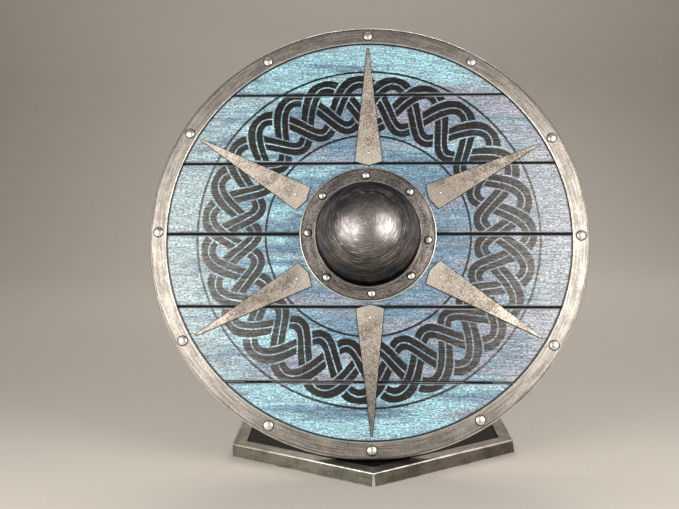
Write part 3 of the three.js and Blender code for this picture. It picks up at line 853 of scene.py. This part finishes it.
def make_frame(material):
    """Six flared bars, mitred and welded into one hexagon with a corner to the front."""
    per_apothem = 1 / cos(pi / 6)
    inside = (FRAME_OUTSIDE - FRAME_WIDTH) * per_apothem
    profile = [
        (inside, 0),
        (FRAME_FOOT * per_apothem, 0),
        (FRAME_SIDE, FRAME_HEIGHT),
        (inside, FRAME_HEIGHT),
    ]
    form = turned(profile, 6)
    ease_edges(form, FRAME_EASE, segments=3)
    flat = Matrix.Rotation(pi / 6, 4, "Z") @ Matrix.Rotation(pi / 2, 4, "X")
    bars = [f"stand_bar_{i}" for i in range(1, 7)]
    finish_piece("welded_frame", form, [material], bars, move=flat)


def make_stand():
    make_frame(frame_steel())
    steel = prop_steel()
    for node in ("stand_post", "stand_foot_plate", "stand_head_bar"):
        soften_node(node, "ground_" + node, PROP_EASE, steel)
    dress_node("stand_panel", panel_gloss())


# ------------------------------------------------------------------ stage, light and camera

FLOOR_COLOUR = (0.54, 0.51, 0.465)
LAMP_COLOUR = (1.0, 0.955, 0.90)
ROOM_COLOUR = (0.84, 0.83, 0.82)
ROOM_STRENGTH = 0.18

CAMERA_FROM_SHIELD = Vector((-0.0090, -1.1021, 0.1026))
CAMERA_YAW = radians(-1.62)
CAMERA_PITCH = radians(6.75)
CAMERA_ROLL = radians(-1.38)
CAMERA_SENSOR_WIDTH = 36  # in millimetres, as the lens
CAMERA_LENS = 42.27


def make_stage():
    """A pale floor that sweeps up behind into a backdrop."""
    paint = Paint("pale_floor", Roughness=0.85)
    paint.set("Base Color", FLOOR_COLOUR)
    half_width, front, back, bend, top = 4, -3.5, 1.6, 0.8, 3.4
    path = [(front, 0), (back, 0), *arc(back, bend, bend, -80, 0, 8), (back + bend, top)]
    form = bmesh.new()
    verts = [form.verts.new((-half_width, y, z)) for y, z in path]
    edges = [form.edges.new(pair) for pair in zip(verts, verts[1:])]
    wide = bmesh.ops.extrude_edge_only(form, edges=edges)["geom"]
    moved = [part for part in wide if isinstance(part, bmesh.types.BMVert)]
    bmesh.ops.translate(form, verts=moved, vec=(2 * half_width, 0, 0))
    mesh = bpy.data.meshes.new("sweep")
    form.to_mesh(mesh)
    form.free()
    mesh.materials.append(paint.material)
    mesh.shade_smooth()
    sweep = bpy.data.objects.new("sweep", mesh)
    bpy.context.scene.collection.objects.link(sweep)


def add_softbox(name, place, target, width, height, power):
    """A rectangular lamp at a place, turned towards its target."""
    light = bpy.data.lights.new(name, "AREA")
    light.shape = "RECTANGLE"
    light.size = width
    light.size_y = height
    light.energy = power
    light.color = LAMP_COLOUR
    lamp = bpy.data.objects.new(name, light)
    lamp.location = place
    lamp.rotation_euler = (Vector(target) - Vector(place)).to_track_quat("-Z", "Y").to_euler()
    bpy.context.scene.collection.objects.link(lamp)


def light_studio():
    """Two softboxes near the shield's front, a soft room, and lamps for the backdrop and the back."""
    world = bpy.data.worlds.new("studio")
    bpy.context.scene.world = world
    world.use_nodes = True
    room = world.node_tree.nodes["Background"].inputs
    room["Color"].default_value = (*ROOM_COLOUR, 1)
    room["Strength"].default_value = ROOM_STRENGTH
    right_of_shield = shield_centre + Vector((0.65, -0.60, 0.25))
    left_of_shield = shield_centre + Vector((-0.64, -0.64, 0.16))
    add_softbox("key_right", right_of_shield, shield_centre, width=0.5, height=0.55, power=7)
    add_softbox("fill_left", left_of_shield, shield_centre, width=0.62, height=0.6, power=7)
    add_softbox("backdrop", (0, 1.0, 2.4), (0, 2.4, 0.4), width=2.5, height=0.8, power=22)
    add_softbox("behind", (0.3, 1.7, 1.7), (0, 0, 0.3), width=1.6, height=0.9, power=16)
    bpy.context.scene.view_settings.view_transform = "Standard"


def make_camera():
    """The camera stands in front of the shield, a little above its middle, and looks slightly down."""
    yaw, pitch, roll = CAMERA_YAW, CAMERA_PITCH, CAMERA_ROLL
    forward = Vector((sin(yaw) * cos(pitch), cos(yaw) * cos(pitch), -sin(pitch)))
    level = Vector((cos(yaw), -sin(yaw), 0))
    upright = level.cross(forward)
    right = level * cos(roll) + upright * sin(roll)
    up = upright * cos(roll) - level * sin(roll)
    data = bpy.data.cameras.new("camera")
    data.sensor_width = CAMERA_SENSOR_WIDTH
    data.lens = CAMERA_LENS
    camera = bpy.data.objects.new("camera", data)
    turn = Matrix((right, up, -forward)).transposed().to_4x4()
    camera.matrix_world = Matrix.Translation(shield_centre + CAMERA_FROM_SHIELD) @ turn
    bpy.context.scene.collection.objects.link(camera)
    bpy.context.scene.camera = camera


make_camera()
make_stage()
light_studio()
make_shield()
make_stand()
